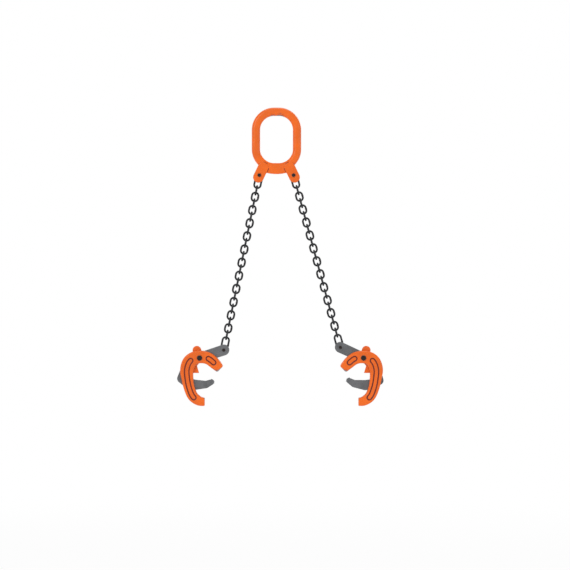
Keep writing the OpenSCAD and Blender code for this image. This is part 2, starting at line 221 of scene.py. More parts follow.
# Where the load rubs nose and toe and where the crane hook rubs the eye, in millimetres
RIM_SPOTS = ((66, -16, -50), (66, 16, -50), (18, 0, -146))
EYE_SPOTS = ((-14, 0, -3), (14, 0, -3))
# How far cutters run past the part, in millimetres
PAST = 60

# Steps between stations of the line, and in a corner, a recess, a bar and the floor's rim
LINE_STEPS = 10
CORNER_STEPS = 10
RECESS_STEPS = 60
BAR_STEPS = 64
FLOOR_STEPS = 128

# Smoothing passes that round a piece
EYE_PASSES = 5
HOOK_PASSES = 4
RECESS_PASSES = 2
# Grid in millimetres and smoothing passes of a latch
LATCH_ROUNDING = (0.6, 4)
# Pieces of a lever: finish, grid in millimetres, smoothing passes
LEVER_PARTS = {
    "lever_front_plate": ("lever_grey", 0.6, 6),
    "lever_back_plate": ("lever_grey", 0.6, 6),
    "lever_rivets": ("lever_grey", 0.5, 1),
    "grip_jaw": ("jaw_steel", 0.5, 1),
}
# How much the bend of the surface over a grid step counts as an edge, and rounds to spread it
EDGE_GAIN = 8
EDGE_ROUNDS = 3
# Widest gap that is welded shut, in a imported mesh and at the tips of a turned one
SEAM = 0.002 * MM
TIP = 0.001 * MM

# Retaining ring: half of its turn in degrees, then shares of that turn or of its width
RING_HALF_TURN = 158
RING_TAPER = 0.35
LUG_FROM = 0.87
LUG_WIDTH = 1.15
LUG_HOLE_AT = 0.935
LUG_HOLE_RISE = 0.6
LUG_HOLE_RADIUS = 0.22
LUG_HOLE_STEPS = 12
RING_BEVEL = 0.15 * MM
# Faces of pins and rings that meet at more than this keep a sharp edge
SHARP_ANGLE = math.radians(30)
# Angle that the wave of the lathe's rings runs through in a metre of radius
LATHE_WAVES = 9000

# Floor: distances in metres over which it fades into the background, and its glow near the object
FLOOR_FADE = (1.5, 5.0)
FLOOR_GLOW = 0.88
# Camera: width of its sensor in millimetres, and how many times nearer and farther it clips
SENSOR_WIDTH = 36
CLIP_RATIO = 100
# Square soft boxes: place and side in metres, power in watts
SOFT_BOXES = {
    "key_light": ((-2.6, -3.6, 1.6), 2.4, 56),
    "fill_light": ((3.4, -3.2, 0.2), 2.4, 16),
    "top_light": ((0.4, 0.6, 3.0), 2.4, 22),
    "rim_light": ((1.8, 3.8, 1.2), 1.8, 20),
}


# Shader maths
class Term:
    """One output of a shader node. Arithmetic on it adds the Math nodes that work it out."""

    def __init__(self, shader, socket):
        self.shader = shader
        self.socket = socket

    def calc(self, operation, *values, clamp=False):
        settings = {"operation": operation, "use_clamp": clamp}
        return self.shader.node("ShaderNodeMath", settings, dict(enumerate(values)))

    def __add__(self, other):
        return self.calc("ADD", self, other)

    def __sub__(self, other):
        return self.calc("SUBTRACT", self, other)

    def __mul__(self, other):
        return self.calc("MULTIPLY", self, other)

    def __rsub__(self, other):
        return self.calc("SUBTRACT", other, self)

    def clamped(self):
        return self.calc("ADD", self, 0.0, clamp=True)

    def wave(self):
        return self.calc("SINE", self)

    def swing(self, amount):
        """Noise as a push up or down from zero."""
        return (self - 0.5) * amount

    def between(self, low, high):
        """0 below low and 1 above high, with a smooth run between."""
        settings = {"interpolation_type": "SMOOTHSTEP"}
        inputs = {"Value": self, "From Min": low, "From Max": high}
        return self.shader.node("ShaderNodeMapRange", settings, inputs)


class Shader:
    """The node tree of one material or world, and the method that adds every node."""

    def __init__(self, name, kind="Material"):
        self.kind = kind
        self.owner = (bpy.data.worlds if kind == "World" else bpy.data.materials).new(name)
        self.owner.use_nodes = True
        self.tree = self.owner.node_tree
        self.tree.nodes.clear()

    def node(self, kind, settings=None, inputs=None, output=0):
        """Adds a node, first its settings and then the values or links of its sockets."""
        made = self.tree.nodes.new(kind)
        for name, value in (settings or {}).items():
            setattr(made, name, value)
        for name, value in (inputs or {}).items():
            if isinstance(value, Term):
                self.tree.links.new(value.socket, made.inputs[name])
            else:
                made.inputs[name].default_value = value
        return Term(self, made.outputs[output]) if made.outputs else None

    def place(self):
        """The point on the resting object, in metres."""
        return self.node("ShaderNodeTexCoord", output="Object")

    def noise(self, grain, detail=3.0, roughness=0.5):
        """Noise whose largest lumps are about grain metres across."""
        return self.noise_along(self.place(), 1 / grain, detail, roughness)

    def noise_along(self, vector, scale, detail=2.0, roughness=0.5):
        inputs = {"Vector": vector, "Scale": scale, "Detail": detail, "Roughness": roughness}
        return self.node("ShaderNodeTexNoise", None, inputs)

    def scaled(self, scale):
        """The point on the object, for noise that is squeezed along axes whose scale is small."""
        inputs = {"Vector": self.place(), "Scale": scale}
        return self.node("ShaderNodeMapping", {"vector_type": "TEXTURE"}, inputs)

    def mark(self, name):
        """A number that the mesh carries at each vertex."""
        return self.node("ShaderNodeAttribute", {"attribute_name": name}, output="Fac")

    def mix(self, factor, below, above):
        """Mixes two colours."""
        below, above = (c if isinstance(c, Term) else (*linear(c), 1) for c in (below, above))
        # Sockets of this node share names, so these go by number: factor and the two colours
        inputs = {0: factor, 6: below, 7: above}
        return self.node("ShaderNodeMix", {"data_type": "RGBA"}, inputs, output=2)

    def bump(self, height, distance, strength):
        inputs = {"Height": height, "Distance": distance, "Strength": strength}
        return self.node("ShaderNodeBump", None, inputs)

    def seen(self):
        """1 where the camera sees it, straight on or in metal and glass, 0 where it only lights."""
        camera, glossy, through = (
            self.node("ShaderNodeLightPath", output=name)
            for name in ("Is Camera Ray", "Is Glossy Ray", "Is Transmission Ray")
        )
        return (camera + glossy + through).clamped()

    def finish(self, surface):
        self.node("ShaderNodeOutput" + self.kind, None, {"Surface": surface})
        return self.owner

    def principled(self, **sockets):
        """Closes the material with a Principled shader, its sockets named with _ for spaces."""
        inputs = {name.replace("_", " "): value for name, value in sockets.items()}
        return self.finish(self.node("ShaderNodeBsdfPrincipled", None, inputs))


def shade(colour, factor):
    """A colour made darker or lighter."""
    return tuple(min(1.0, c * factor) for c in colour)


# Finishes
def forging_paint(colours):
    """Glossy orange enamel over a shot-blasted forging, chipped on edges, with painted shade and
    some soiling in its corners and recesses.
    """
    s = Shader("forging_paint")
    edge = s.mark("edge")
    cloud = s.noise(0.06, detail=2)
    speck = s.noise(0.004, detail=4, roughness=0.65)
    tones = shade(colours.forging, 0.94), shade(colours.forging, 1.02)
    paint = s.mix(cloud.between(0.3, 0.7), *tones)
    # Painted shade, with some soiling: inner corners and a line along each recess's wall are
    # darkened towards a dark red-brown
    shaded_recess_line = (s.mark("recess_shade_dirt") + speck.swing(0.12)).between(0.43, 0.64)
    corner = ((0 - edge).between(0.15, 0.6) + shaded_recess_line).clamped() * (speck * 0.6 + cloud * 0.3 + 0.55)
    corner_shaded = s.mix(corner.clamped() * 0.96, paint, colours.grime)
    # The paint goes first to primer and then to bare steel, on edges and where something rubs
    rubbed = edge * 0.9 + s.mark("wear") * 1.1 + speck.swing(1.4) + cloud.swing(0.9)
    primer = rubbed.between(0.78, 0.84)
    chip = rubbed.between(0.88, 0.95)
    worn = s.mix(chip, s.mix(primer * 0.8, corner_shaded, colours.primer), colours.bare_steel)
    peel = s.noise(0.0026, detail=2, roughness=0.4)
    cast = s.noise(0.009, roughness=0.55)
    height = peel * 0.15 + cast * 0.85 - primer * 0.08 - chip * 0.08
    return s.principled(
        Base_Color=worn,
        Roughness=cloud * 0.10 + corner * 0.15 + chip * 0.1 + 0.27,
        Metallic=chip * 0.9,
        Coat_Weight=(1 - chip) * 0.12,
        Coat_Roughness=0.12,
        Specular_IOR_Level=0.36,
        Normal=s.bump(height, distance=0.0017, strength=0.85),
    )


def lever_paint(colours):
    """Satin grey paint on flame-cut plate, rubbed bright along its edges."""
    s = Shader("lever_paint")
    edge = s.mark("edge")
    cloud = s.noise(0.035)
    speck = s.noise(0.0035, detail=4, roughness=0.6)
    scratches = s.noise_along(s.scaled((1, 1, 0.06)), scale=260)
    tones = shade(colours.lever, 0.9), shade(colours.lever, 1.08)
    paint = s.mix(cloud.between(0.25, 0.75), *tones)
    # Painted shade: inner corners darkened towards a darker copy of the grey paint
    corner = (0 - edge).between(0.15, 0.8)
    corner_shaded = s.mix(corner * 0.5, paint, shade(colours.lever, 0.45))
    scratch = scratches.between(0.66, 0.74) * 0.5
    rubbed = edge * 0.9 + s.mark("wear") * 0.9 + speck.swing(1.3) + cloud.swing(0.8)
    worn = (rubbed.between(0.82, 1.0) * 0.8 + scratch).clamped()
    height = speck * 0.6 + cloud * 1.5 - worn * 0.3
    return s.principled(
        Base_Color=s.mix(worn, corner_shaded, colours.bare_steel),
        Roughness=speck * 0.12 + cloud * 0.12 + 0.34 - worn * 0.08,
        Metallic=worn * 0.7 + 0.15,
        Normal=s.bump(height, distance=0.0003, strength=0.7),
    )


def jaw_finish(colours):
    """Machined and hardened steel with fine tool marks."""
    s = Shader("jaw_finish")
    edge = s.mark("edge")
    cloud = s.noise(0.018)
    marks = s.noise_along(s.scaled((1, 0.05, 1)), scale=900)
    steel = s.mix(cloud, shade(colours.jaw, 0.85), shade(colours.jaw, 1.12))
    bright = edge.between(0.35, 1.0) * 0.6
    return s.principled(
        Base_Color=s.mix(bright, steel, colours.bare_steel),
        Roughness=cloud * 0.15 + marks * 0.12 + 0.25,
        Metallic=0.85,
        Normal=s.bump(marks, distance=0.00012, strength=0.5),
    )


def chain_steel(colours):
    """Black heat-treated chain with a trace of scale, rubbed bright where the links bear."""
    s = Shader("chain_steel")
    rub = s.mark("rub")
    weld = s.mark("weld")
    cloud = s.noise(0.03)
    scale = s.noise(0.0045, detail=4, roughness=0.6)
    steel = s.mix(scale, shade(colours.chain, 0.8), shade(colours.chain, 1.35))
    heat = s.mix(weld * 0.5, steel, shade(colours.pin, 1.6))
    bright = (rub * 1.25 + scale.swing(0.7)).between(0.55, 1.0)
    return s.principled(
        Base_Color=s.mix(bright, heat, colours.bare_steel),
        Roughness=scale * 0.18 + cloud * 0.12 + 0.28 - bright * 0.12,
        Metallic=bright * 0.3 + 0.6,
        Normal=s.bump(scale + weld * scale * 2.5, distance=0.00022, strength=0.5),
    )


def pin_steel(colours):
    """Blackened turned pins with fine rings from the lathe, bright where the edges have rubbed."""
    s = Shader("pin_steel")
    cloud = s.noise(0.01)
    speck = s.noise(0.002)
    rings = (s.mark("turned") * LATHE_WAVES).wave()
    worn = (s.mark("edge") + speck.swing(1.1)).between(0.55, 0.8) * 0.55
    black = s.mix(cloud, shade(colours.pin, 0.85), shade(colours.pin, 1.5))
    return s.principled(
        Base_Color=s.mix(worn, black, colours.bare_steel),
        Roughness=cloud * 0.18 + 0.26,
        Metallic=worn * 0.4 + 0.45,
        Normal=s.bump(rings * 0.3 + speck * 0.7, distance=0.00012, strength=0.5),
    )


def spring_finish(colours):
    """Bright spring steel, faintly straw-coloured by its temper."""
    s = Shader("spring_finish")
    cloud = s.noise(0.008)
    return s.principled(
        Base_Color=s.mix(cloud, shade(colours.spring, 0.85), colours.straw),
        Roughness=cloud * 0.15 + 0.22,
        Metallic=0.95,
        Normal=s.bump(cloud, distance=0.00006, strength=0.4),
    )


FINISHES = {
    "forging_orange": forging_paint,
    "lever_grey": lever_paint,
    "jaw_steel": jaw_finish,
    "chain_dark": chain_steel,
    "pin_dark": pin_steel,
    "spring_steel": spring_finish,
}


def finish_of(slot):
    """The material of a slot, made the first time it is asked for."""
    make = FINISHES[slot]
    return bpy.data.materials.get(make.__name__) or make(bpy.context.scene.drum_clamp_colours)


# Pieces
def add_object(name, data):
    """Puts a mesh, curve, lamp or camera in the scene."""
    added = bpy.data.objects.new(name, data)
    bpy.context.scene.collection.objects.link(added)
    return added


def add_piece(name, mesh, body, slot, node):
    """Puts a mesh in the scene as a piece that stands for a CAD node and rides on a body."""
    mesh.name = name
    piece = add_object(name, mesh)
    mesh.materials.clear()
    mesh.materials.append(finish_of(slot))
    mesh.polygons.foreach_set("material_index", [0] * len(mesh.polygons))
    mesh.shade_smooth()
    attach(piece, body)
    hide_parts(node)
    return piece


def mesh_from_bmesh(name, shape):
    """The mesh of a bmesh, which is freed."""
    mesh = bpy.data.meshes.new(name)
    shape.to_mesh(mesh)
    shape.free()
    return mesh


def mesh_from_points(name, points, faces):
    mesh = bpy.data.meshes.new(name)
    mesh.from_pydata(points, [], faces)
    mesh.update()
    return mesh


def copied_mesh(node):
    """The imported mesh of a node, with the seams between its faces welded."""
    shape = bmesh.new()
    shape.from_mesh(frame["nodes"][node].data)
    bmesh.ops.remove_doubles(shape, verts=shape.verts, dist=SEAM)
    return mesh_from_bmesh(node, shape)


def joined_meshes(name, meshes):
    shape = bmesh.new()
    for mesh in meshes:
        shape.from_mesh(mesh)
    return mesh_from_bmesh(name, shape)


def worked(data, *steps):
    """The mesh of a mesh or curve with modifiers applied, each given as its type and settings."""
    holder = add_object("holder", data)
    for kind, settings in steps:
        modifier = holder.modifiers.new(kind, kind)
        for name, value in settings.items():
            setattr(modifier, name, value)
    shown = holder.evaluated_get(bpy.context.evaluated_depsgraph_get())
    result = bpy.data.meshes.new_from_object(shown)
    bpy.data.objects.remove(holder)
    return result


def smoothing(passes):
    return "SMOOTH", {"factor": 0.5, "iterations": passes}


def rounded(mesh, grid, passes):
    """A mesh laid on an even grid and smoothed, so that sharp corners become forged ones."""
    return worked(mesh, ("REMESH", {"mode": "VOXEL", "voxel_size": grid}), smoothing(passes))


def vertex_rows(mesh, what):
    """The places or normals of a mesh's vertices, one row each."""
    rows = np.empty(len(mesh.vertices) * 3)
    mesh.vertices.foreach_get(what, rows)
    return rows.reshape(-1, 3)


def neighbour_mean(values, ends, others, count):
    """The mean over each vertex's neighbours, column by column."""
    sums = [
        np.bincount(ends, weights=column[others], minlength=len(column)) for column in values.T
    ]
    return np.stack(sums, 1) / count[:, None]


def mark_edges(mesh, grid):
    """Stores how convex each vertex is: 1 on an edge, 0 on a flat, -1 in an inner corner."""
    places = vertex_rows(mesh, "co")
    pairs = np.empty(len(mesh.edges) * 2, int)
    mesh.edges.foreach_get("vertices", pairs)
    pairs = pairs.reshape(-1, 2)
    ends = np.concatenate([pairs[:, 0], pairs[:, 1]])
    others = np.concatenate([pairs[:, 1], pairs[:, 0]])
    count = np.maximum(np.bincount(ends, minlength=len(places)), 1)
    pull = places - neighbour_mean(places, ends, others, count)
    convex = (pull * vertex_rows(mesh, "normal")).sum(1)[:, None]
    for _ in range(EDGE_ROUNDS):
        convex = 0.5 * convex + 0.5 * neighbour_mean(convex, ends, others, count)
    store(mesh, "edge", np.clip(convex[:, 0] * EDGE_GAIN / grid, -1, 1))


def dressed(node, grid, passes):
    """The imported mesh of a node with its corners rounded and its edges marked."""
    mesh = rounded(copied_mesh(node), grid, passes)
    mark_edges(mesh, grid)
    return mesh


def mark_wear(mesh, *spots):
    """Stores how rubbed each vertex is: 1 at the middle of a spot, 0 at its reach and past it."""
    places = vertex_rows(mesh, "co")
    wear = np.zeros(len(places))
    for middle, reach in spots:
        away = np.linalg.norm(places - np.array(middle), axis=1)
        wear = np.maximum(wear, 1 - away / reach)
    store(mesh, "wear", wear)


def store(mesh, name, values):
    """Stores one number for each vertex, for a finish to read."""
    column = mesh.attributes.new(name, "FLOAT", "POINT")
    column.data.foreach_set("value", np.asarray(values, np.float32))


def clamp_to_world(side):
    """From the frame of a clamp, with +X towards the other clamp, to its place in the object."""
    mirror = Matrix.Scale(-1 if side == "right" else 1, 4, Vector((1, 0, 0)))
    return Matrix.Translation(pivot(f"{side}_grip")) @ mirror


def placed(mesh, matrix):
    """A copy of a mesh moved to its place, with its faces still facing outwards."""
    moved = mesh.copy()
    moved.transform(matrix)
    if matrix.determinant() < 0:
        moved.flip_normals()
    return moved


# Hook bodies
def curve_at(line, at):
    """A point of the smooth curve that passes through every station of a line."""
    i = min(int(at), len(line) - 2)
    t = at - i
    a, b, c, d = (Vector(line[min(max(k, 0), len(line) - 1)]) for k in range(i - 1, i + 3))
    return (
        2 * b + (c - a) * t + (2 * a - 5 * b + 4 * c - d) * t**2 + (3 * b - a - 3 * c + d) * t**3
    ) / 2


def section_ring(half_width, half_depth, radius):
    """A rounded rectangle, as (across, depth) pairs."""
    ring = []
    for quarter in range(4):
        sign_x = 1 if quarter in (0, 3) else -1
        sign_y = 1 if quarter < 2 else -1
        for k in range(CORNER_STEPS + 1):
            turn = math.radians(90 * (quarter + k / CORNER_STEPS))
            ring.append((
                sign_x * (half_width - radius) + radius * math.cos(turn),
                sign_y * (half_depth - radius) + radius * math.sin(turn),
            ))
    return ring


def tube_mesh(name, rings, closed=False):
    """A mesh through rings of points, with end caps unless it closes on itself."""
    size = len(rings[0])
    count = len(rings)
    faces = []
    for k in range(count if closed else count - 1):
        here = k * size
        ahead = (k + 1) % count * size
        for j in range(size):
            side = (j + 1) % size
            faces.append((here + j, here + side, ahead + side, ahead + j))
    if not closed:
        faces += [tuple(reversed(range(size))), tuple(range((count - 1) * size, count * size))]
    return mesh_from_points(name, [point for ring in rings for point in ring], faces)


def body_band(sizes):
    """The forged band of a hook body, swept along its centre line."""
    last = LINE_STEPS * (len(BODY_LINE) - 1)
    line = [curve_at(BODY_LINE, k / LINE_STEPS) * MM for k in range(last + 1)]
    rings = []
    for k, (u, z, width) in enumerate(line):
        run = Vector(line[min(k + 1, last)][:2]) - Vector(line[max(k - 1, 0)][:2])
        out = Vector((run.y, -run.x)).normalized()
        section = section_ring(width / 2, sizes.thickness / 2, sizes.edge_radius)
        rings.append([(u + out.x * x, y, z + out.y * x) for x, y in section])
    return tube_mesh("band", rings)


def block(low, high):
    """A cutter: a box between two corners, in millimetres."""
    corners = [Vector(corner) * MM for corner in product(*zip(low, high))]
    faces = [(0, 1, 3, 2), (4, 6, 7, 5), (0, 4, 5, 1), (2, 3, 7, 6), (0, 2, 6, 4), (1, 5, 7, 3)]
    return mesh_from_points("block", corners, faces)


def cross_bar(diameter, length):
    """A cutter: a round bar across the part, through the origin."""
    turns = [2 * math.pi * k / BAR_STEPS for k in range(BAR_STEPS)]
    rings = [
        [(math.cos(turn) * diameter / 2, y, math.sin(turn) * diameter / 2) for turn in turns]
        for y in (length / 2, -length / 2)
    ]
    return tube_mesh("bar", rings)


def nose_cutter(width, corner, reach, matrix):
    """A cutter: all that lies past the nose face, and what its rounded corners leave off."""
    mid = width / 2 - corner
    outline = [(-corner, -reach), (reach, -reach), (reach, reach), (-corner, reach)]
    arcs = ((mid, range(CORNER_STEPS, -1, -1)), (-mid, range(0, -CORNER_STEPS - 1, -1)))
    for end, turns in arcs:
        for k in turns:
            turn = math.pi / 2 * k / CORNER_STEPS
            outline.append((corner * (math.cos(turn) - 1), end + corner * math.sin(turn)))
    rings = [[matrix @ Vector((x, y, z)) for x, z in outline] for y in (reach, -reach)]
    return tube_mesh("nose", rings)


def cut(mesh, *cutters):
    """A mesh less some cutters."""
    holders = [add_object("cutter", cutter) for cutter in cutters]
    settings = {"operation": "DIFFERENCE", "solver": "EXACT"}
    result = worked(mesh, *(("BOOLEAN", {**settings, "object": holder}) for holder in holders))
    for holder in holders:
        bpy.data.objects.remove(holder)
    return result


def press_recess(mesh, span, sizes):
    """Presses a recess into both cheeks along the centre line, and says where its dark line of
    painted shade and soiling lies.
    """
    line = [
        curve_at(BODY_LINE, span[0] + (span[1] - span[0]) * k / RECESS_STEPS) * MM
        for k in range(RECESS_STEPS + 1)
    ]
    places = vertex_rows(mesh, "co")
    away = np.full(len(places), np.inf)
    for point in line:
        away = np.minimum(away, np.hypot(places[:, 0] - point.x, places[:, 2] - point.y))
    half_width = sizes.recess_width / 2
    down = np.clip((half_width - away) / sizes.recess_draft + 0.5, 0, 1)
    depth = sizes.recess_depth * down * down * (3 - 2 * down)
    cheek = sizes.thickness / 2
    near_face = np.abs(places[:, 1]) > cheek - sizes.recess_depth
    pressed = np.minimum(np.abs(places[:, 1]), cheek - depth)
    places[:, 1] = np.where(near_face, np.sign(places[:, 1]) * pressed, places[:, 1])
    mesh.vertices.foreach_set("co", places.ravel())
    mesh.update()
    # A dark line just inside the recess's edge that fades over a reach: painted shade on the recess
    # wall, with some soiling
    dirt_and_shade = 1 - np.abs(half_width - sizes.dirt_inset - away) / sizes.dirt_reach
    return np.where(near_face, np.clip(dirt_and_shade, 0, 1), 0)


def hook_mesh(sizes):
    """A hook body in its clamp's frame: main pin at the origin, +X towards the other clamp."""
    slot = sizes.slot_width / MM / 2
    front = sizes.slot_front / MM
    foot = sizes.slot_foot / MM
    over = sizes.over_nose / MM
    reach = sizes.toe_reach / MM
    nose = Matrix.Translation(Vector((NOSE_FACE[0], 0, NOSE_FACE[1])) * MM)
    nose = nose @ Matrix.Rotation(math.radians(NOSE_FACE_ANGLE), 4, "Y")
    raw = cut(
        body_band(sizes),
        block((-2 * PAST, -slot, -foot), (front, slot, PAST)),
        block((0, -slot, -over), (2 * PAST, slot, 2 * PAST)),
        block((reach, -PAST, -3 * PAST), (reach + PAST, PAST, -2 * PAST)),
        nose_cutter(sizes.nose_width, sizes.nose_corner, PAST * MM, nose),
        cross_bar(sizes.bore, 3 * sizes.thickness),
    )
    mesh = rounded(raw, sizes.grid, HOOK_PASSES)
    # Marks the dark lines along the recesses, painted shade with some soiling, for the paint to
    # read
    dirt_and_shade = [press_recess(mesh, span, sizes) for span in RECESSES]
    store(mesh, "recess_shade_dirt", np.maximum(*dirt_and_shade))
    return worked(mesh, smoothing(RECESS_PASSES))


class Build:
    """What every operator of this object shares."""

    bl_options = {"REGISTER", "UNDO"}

    def execute(self, context):
        self.build(context.scene)
        return {"FINISHED"}


class DRUMCLAMP_OT_lifting_eye(Build, bpy.types.Operator):
    """Makes the forged eye that hangs on the crane hook, with its yoke and two ears"""

    bl_idname = "drum_clamp.lifting_eye"
    bl_label = "Lifting eye"

    def build(self, scene):
        sizes = scene.drum_clamp_forging
        mesh = dressed("lifting_eye", sizes.grid, EYE_PASSES)
        mark_wear(mesh, *((Vector(spot) * MM, sizes.eye_rub) for spot in EYE_SPOTS))
        add_piece("lifting_eye_forging", mesh, "sling_head", "forging_orange", "lifting_eye")


class DRUMCLAMP_OT_hook_bodies(Build, bpy.types.Operator):
    """Makes the two forged hook bodies, each with its slot, its recesses and its bore"""

    bl_idname = "drum_clamp.hook_bodies"
    bl_label = "Hook bodies"

    def build(self, scene):
        sizes = scene.drum_clamp_forging
        mesh = hook_mesh(sizes)
        mark_edges(mesh, sizes.grid)
        mark_wear(mesh, *((Vector(spot) * MM, sizes.rim_rub) for spot in RIM_SPOTS))
        for side in SIDES:
            node = f"{side}_hook_body"
            moved = placed(mesh, clamp_to_world(side))
            add_piece(f"{node}_forging", moved, f"{side}_hook", "forging_orange", node)


class DRUMCLAMP_OT_latches(Build, bpy.types.Operator):
    """Makes the spring latches and the flat spiral springs in them"""

    bl_idname = "drum_clamp.latches"
    bl_label = "Latches"

    def build(self, scene):
        grid, passes = LATCH_ROUNDING
        for side in SIDES:
            latch = f"{side}_latch"
            mesh = dressed(latch, grid * MM, passes)
            add_piece(f"{latch}_forging", mesh, latch, "forging_orange", latch)
            node = f"{side}_latch_spring"
            piece = f"{side}_spiral_spring"
            add_piece(piece, copied_mesh(node), f"{side}_hook", "spring_steel", node)


class DRUMCLAMP_OT_levers(Build, bpy.types.Operator):
    """Makes the lever plates, their rivets and the toothed jaws between them"""

    bl_idname = "drum_clamp.levers"
    bl_label = "Levers"

    def build(self, scene):
        sizes = scene.drum_clamp_lever
        for side in SIDES:
            chain_end = (pivot(f"{side}_clamp_swing"), sizes.pin_rub)
            hub = (pivot(f"{side}_grip"), sizes.hub_rub)
            for part, (slot, grid, passes) in LEVER_PARTS.items():
                node = f"{side}_{part}"
                mesh = dressed(node, grid * MM, passes)
                mark_wear(mesh, chain_end, hub)
                add_piece(f"{node}_dressed", mesh, f"{side}_lever", slot, node)


# Pins and rings
def turned_pin(pins, centre, shank, head, ends, groove):
    """A headed pin turned about Y, with chamfers, centre holes and a groove for its ring."""
    front, back = ends
    seat = front + pins.head
    chamfer = pins.chamfer
    floor = shank - pins.groove_depth
    # Radius, place along the pin, and how rubbed it is there, from centre hole to centre hole
    profile = (
        (0, front + 2 * chamfer, 0), (1.6 * chamfer, front + chamfer / 3, 0),
        (2 * chamfer, front, 0.1), (head - 3 * chamfer, front, 0.1),
        (head - chamfer, front, 0.6), (head, front + chamfer, 1),
        (head, seat - chamfer / 3, 0.6), (head - chamfer / 3, seat, 0.3), (shank, seat, 0),
        (shank, groove[0], 0.3), (floor, groove[0], 0),
        (floor, groove[1], 0), (shank, groove[1], 0.3),
        (shank, back - chamfer, 0.6), (shank - chamfer, back, 0.6),
        (shank - 3 * chamfer, back, 0.1), (2 * chamfer, back, 0.1), (0, back - 1.5 * chamfer, 0),
    )
    # Clockwise as seen from the front, so that the faces look outwards
    turns = [-2 * math.pi * k / pins.steps for k in range(pins.steps)]
    circle = [(math.cos(turn), math.sin(turn)) for turn in turns]
    rings = [
        [(centre.x + radius * x, y, centre.z + radius * z) for x, z in circle]
        for radius, y, _ in profile
    ]
    mesh = tube_mesh("pin", rings)
    store(mesh, "turned", np.repeat([radius for radius, _, _ in profile], pins.steps))
    store(mesh, "edge", np.repeat([edge for _, _, edge in profile], pins.steps))
    return worked(mesh, ("WELD", {"merge_threshold": TIP}))


def stamped(loops, thickness):
    """A sheet in the XY plane with the outline and holes that some loops give, edges bevelled."""
    curve = bpy.data.curves.new("ring", "CURVE")
    curve.dimensions = "2D"
    curve.fill_mode = "BOTH"
    curve.extrude = thickness / 2 - RING_BEVEL
    curve.bevel_depth = RING_BEVEL
    curve.bevel_resolution = 1
    curve.offset = -RING_BEVEL
    for loop in loops:
        spline = curve.splines.new("POLY")
        spline.points.add(len(loop) - 1)
        spline.points.foreach_set("co", [c for point in loop for c in (*point, 0, 1)])
        spline.use_cyclic_u = True
    return worked(curve)


def ring_blank(pins, centre, inner, ends):
    """A stamped retaining ring, open at the bottom, with a drilled lug at each end."""
    half_turn = math.radians(RING_HALF_TURN)
    inside = []
    outside = []
    for k in range(pins.steps + 1):
        turn = half_turn * (2 * k / pins.steps - 1)
        share = abs(turn) / half_turn
        width = pins.ring * (LUG_WIDTH if share > LUG_FROM else 1 - RING_TAPER * share**2)
        way = Vector((math.sin(turn), math.cos(turn)))
        inside.append(way * inner)
        outside.append(way * (inner + width))
    loops = [outside + inside[::-1]]
    for sign in (-1, 1):
        turn = sign * half_turn * LUG_HOLE_AT
        hole = Vector((math.sin(turn), math.cos(turn))) * (inner + pins.ring * LUG_HOLE_RISE)
        circle = []
        for k in range(LUG_HOLE_STEPS):
            spin = math.radians(360 / LUG_HOLE_STEPS * k)
            circle.append(Vector((math.cos(spin), math.sin(spin))) * pins.ring * LUG_HOLE_RADIUS)
        loops.append([hole + point for point in circle])
    mesh = stamped(loops, ends[1] - ends[0])
    middle = Vector((centre.x, (ends[0] + ends[1]) / 2, centre.z))
    mesh.transform(Matrix.Translation(middle) @ Matrix.Rotation(math.pi / 2, 4, "X"))
    return mesh


def pin_seats(pins):
    """The nodes of each kind of pin and its ring, their body, the diameter and the joints there."""
    ears = [f"{side}_leg_swing" for side in SIDES]
    yield "ear_pins", "ear_pin_clips", "sling_head", pins.ear, ears
    for side in SIDES:
        for end, body, diameter, joint in (
            ("main", "hook", pins.main, "grip"), ("chain", "lever", pins.chain, "clamp_swing")
        ):
            pin = f"{side}_{end}_pin"
            yield pin, f"{pin}_clip", f"{side}_{body}", diameter, [f"{side}_{joint}"]


class DRUMCLAMP_OT_pins(Build, bpy.types.Operator):
    """Makes the turned pins and the retaining rings in their grooves"""

    bl_idname = "drum_clamp.pins"
    bl_label = "Pins and rings"

    def build(self, scene):
        pins = scene.drum_clamp_pins
        for pin, clip, body, diameter, joints in pin_seats(pins):
            low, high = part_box(pin)
            head = (high.z - low.z) / 2
            ends = (low.y, high.y)
            clip_ends = [corner.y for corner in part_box(clip)]
            groove = (clip_ends[0] - pins.groove_play, clip_ends[1] + pins.groove_play)
            inner = diameter / 2 - pins.groove_depth + pins.groove_play / 2
            turned = []
            rings = []
            for joint in joints:
                centre = pivot(joint)
                turned.append(turned_pin(pins, centre, diameter / 2, head, ends, groove))
                rings.append(ring_blank(pins, centre, inner, clip_ends))
            for node, made, slot, meshes in (
                (pin, "turned", "pin_dark", turned), (clip, "stamped", "spring_steel", rings)
            ):
                mesh = joined_meshes(node, meshes)
                piece = add_piece(f"{node}_{made}", mesh, body, slot, node)
                piece.data.set_sharp_from_angle(angle=SHARP_ANGLE)


# Chain
def link_line(chain, inside):
    """Points of a link's centre line, their way out, how they bear and how the weld rises."""
    line_r = (chain.width - chain.wire) / 2
    half = (inside + chain.wire) / 2 - line_r
    line = []
    for end in (1, -1):
        for k in range(chain.bend_steps):
            turn = math.pi * k / chain.bend_steps
            x = end * line_r * math.cos(turn)
            z = end * (half + line_r * math.sin(turn))
            way = Vector((end * math.cos(turn), 0, end * math.sin(turn)))
            line.append((Vector((x, 0, z)), way, math.sin(turn) ** 4, 0))
        for k in range(chain.side_steps):
            z = end * half * (1 - 2 * k / chain.side_steps)
            bead = math.exp(-((z / chain.weld_length) ** 4)) if end < 0 else 0
            line.append((Vector((-end * line_r, 0, z)), Vector((-end, 0, 0)), 0, bead))
    return line


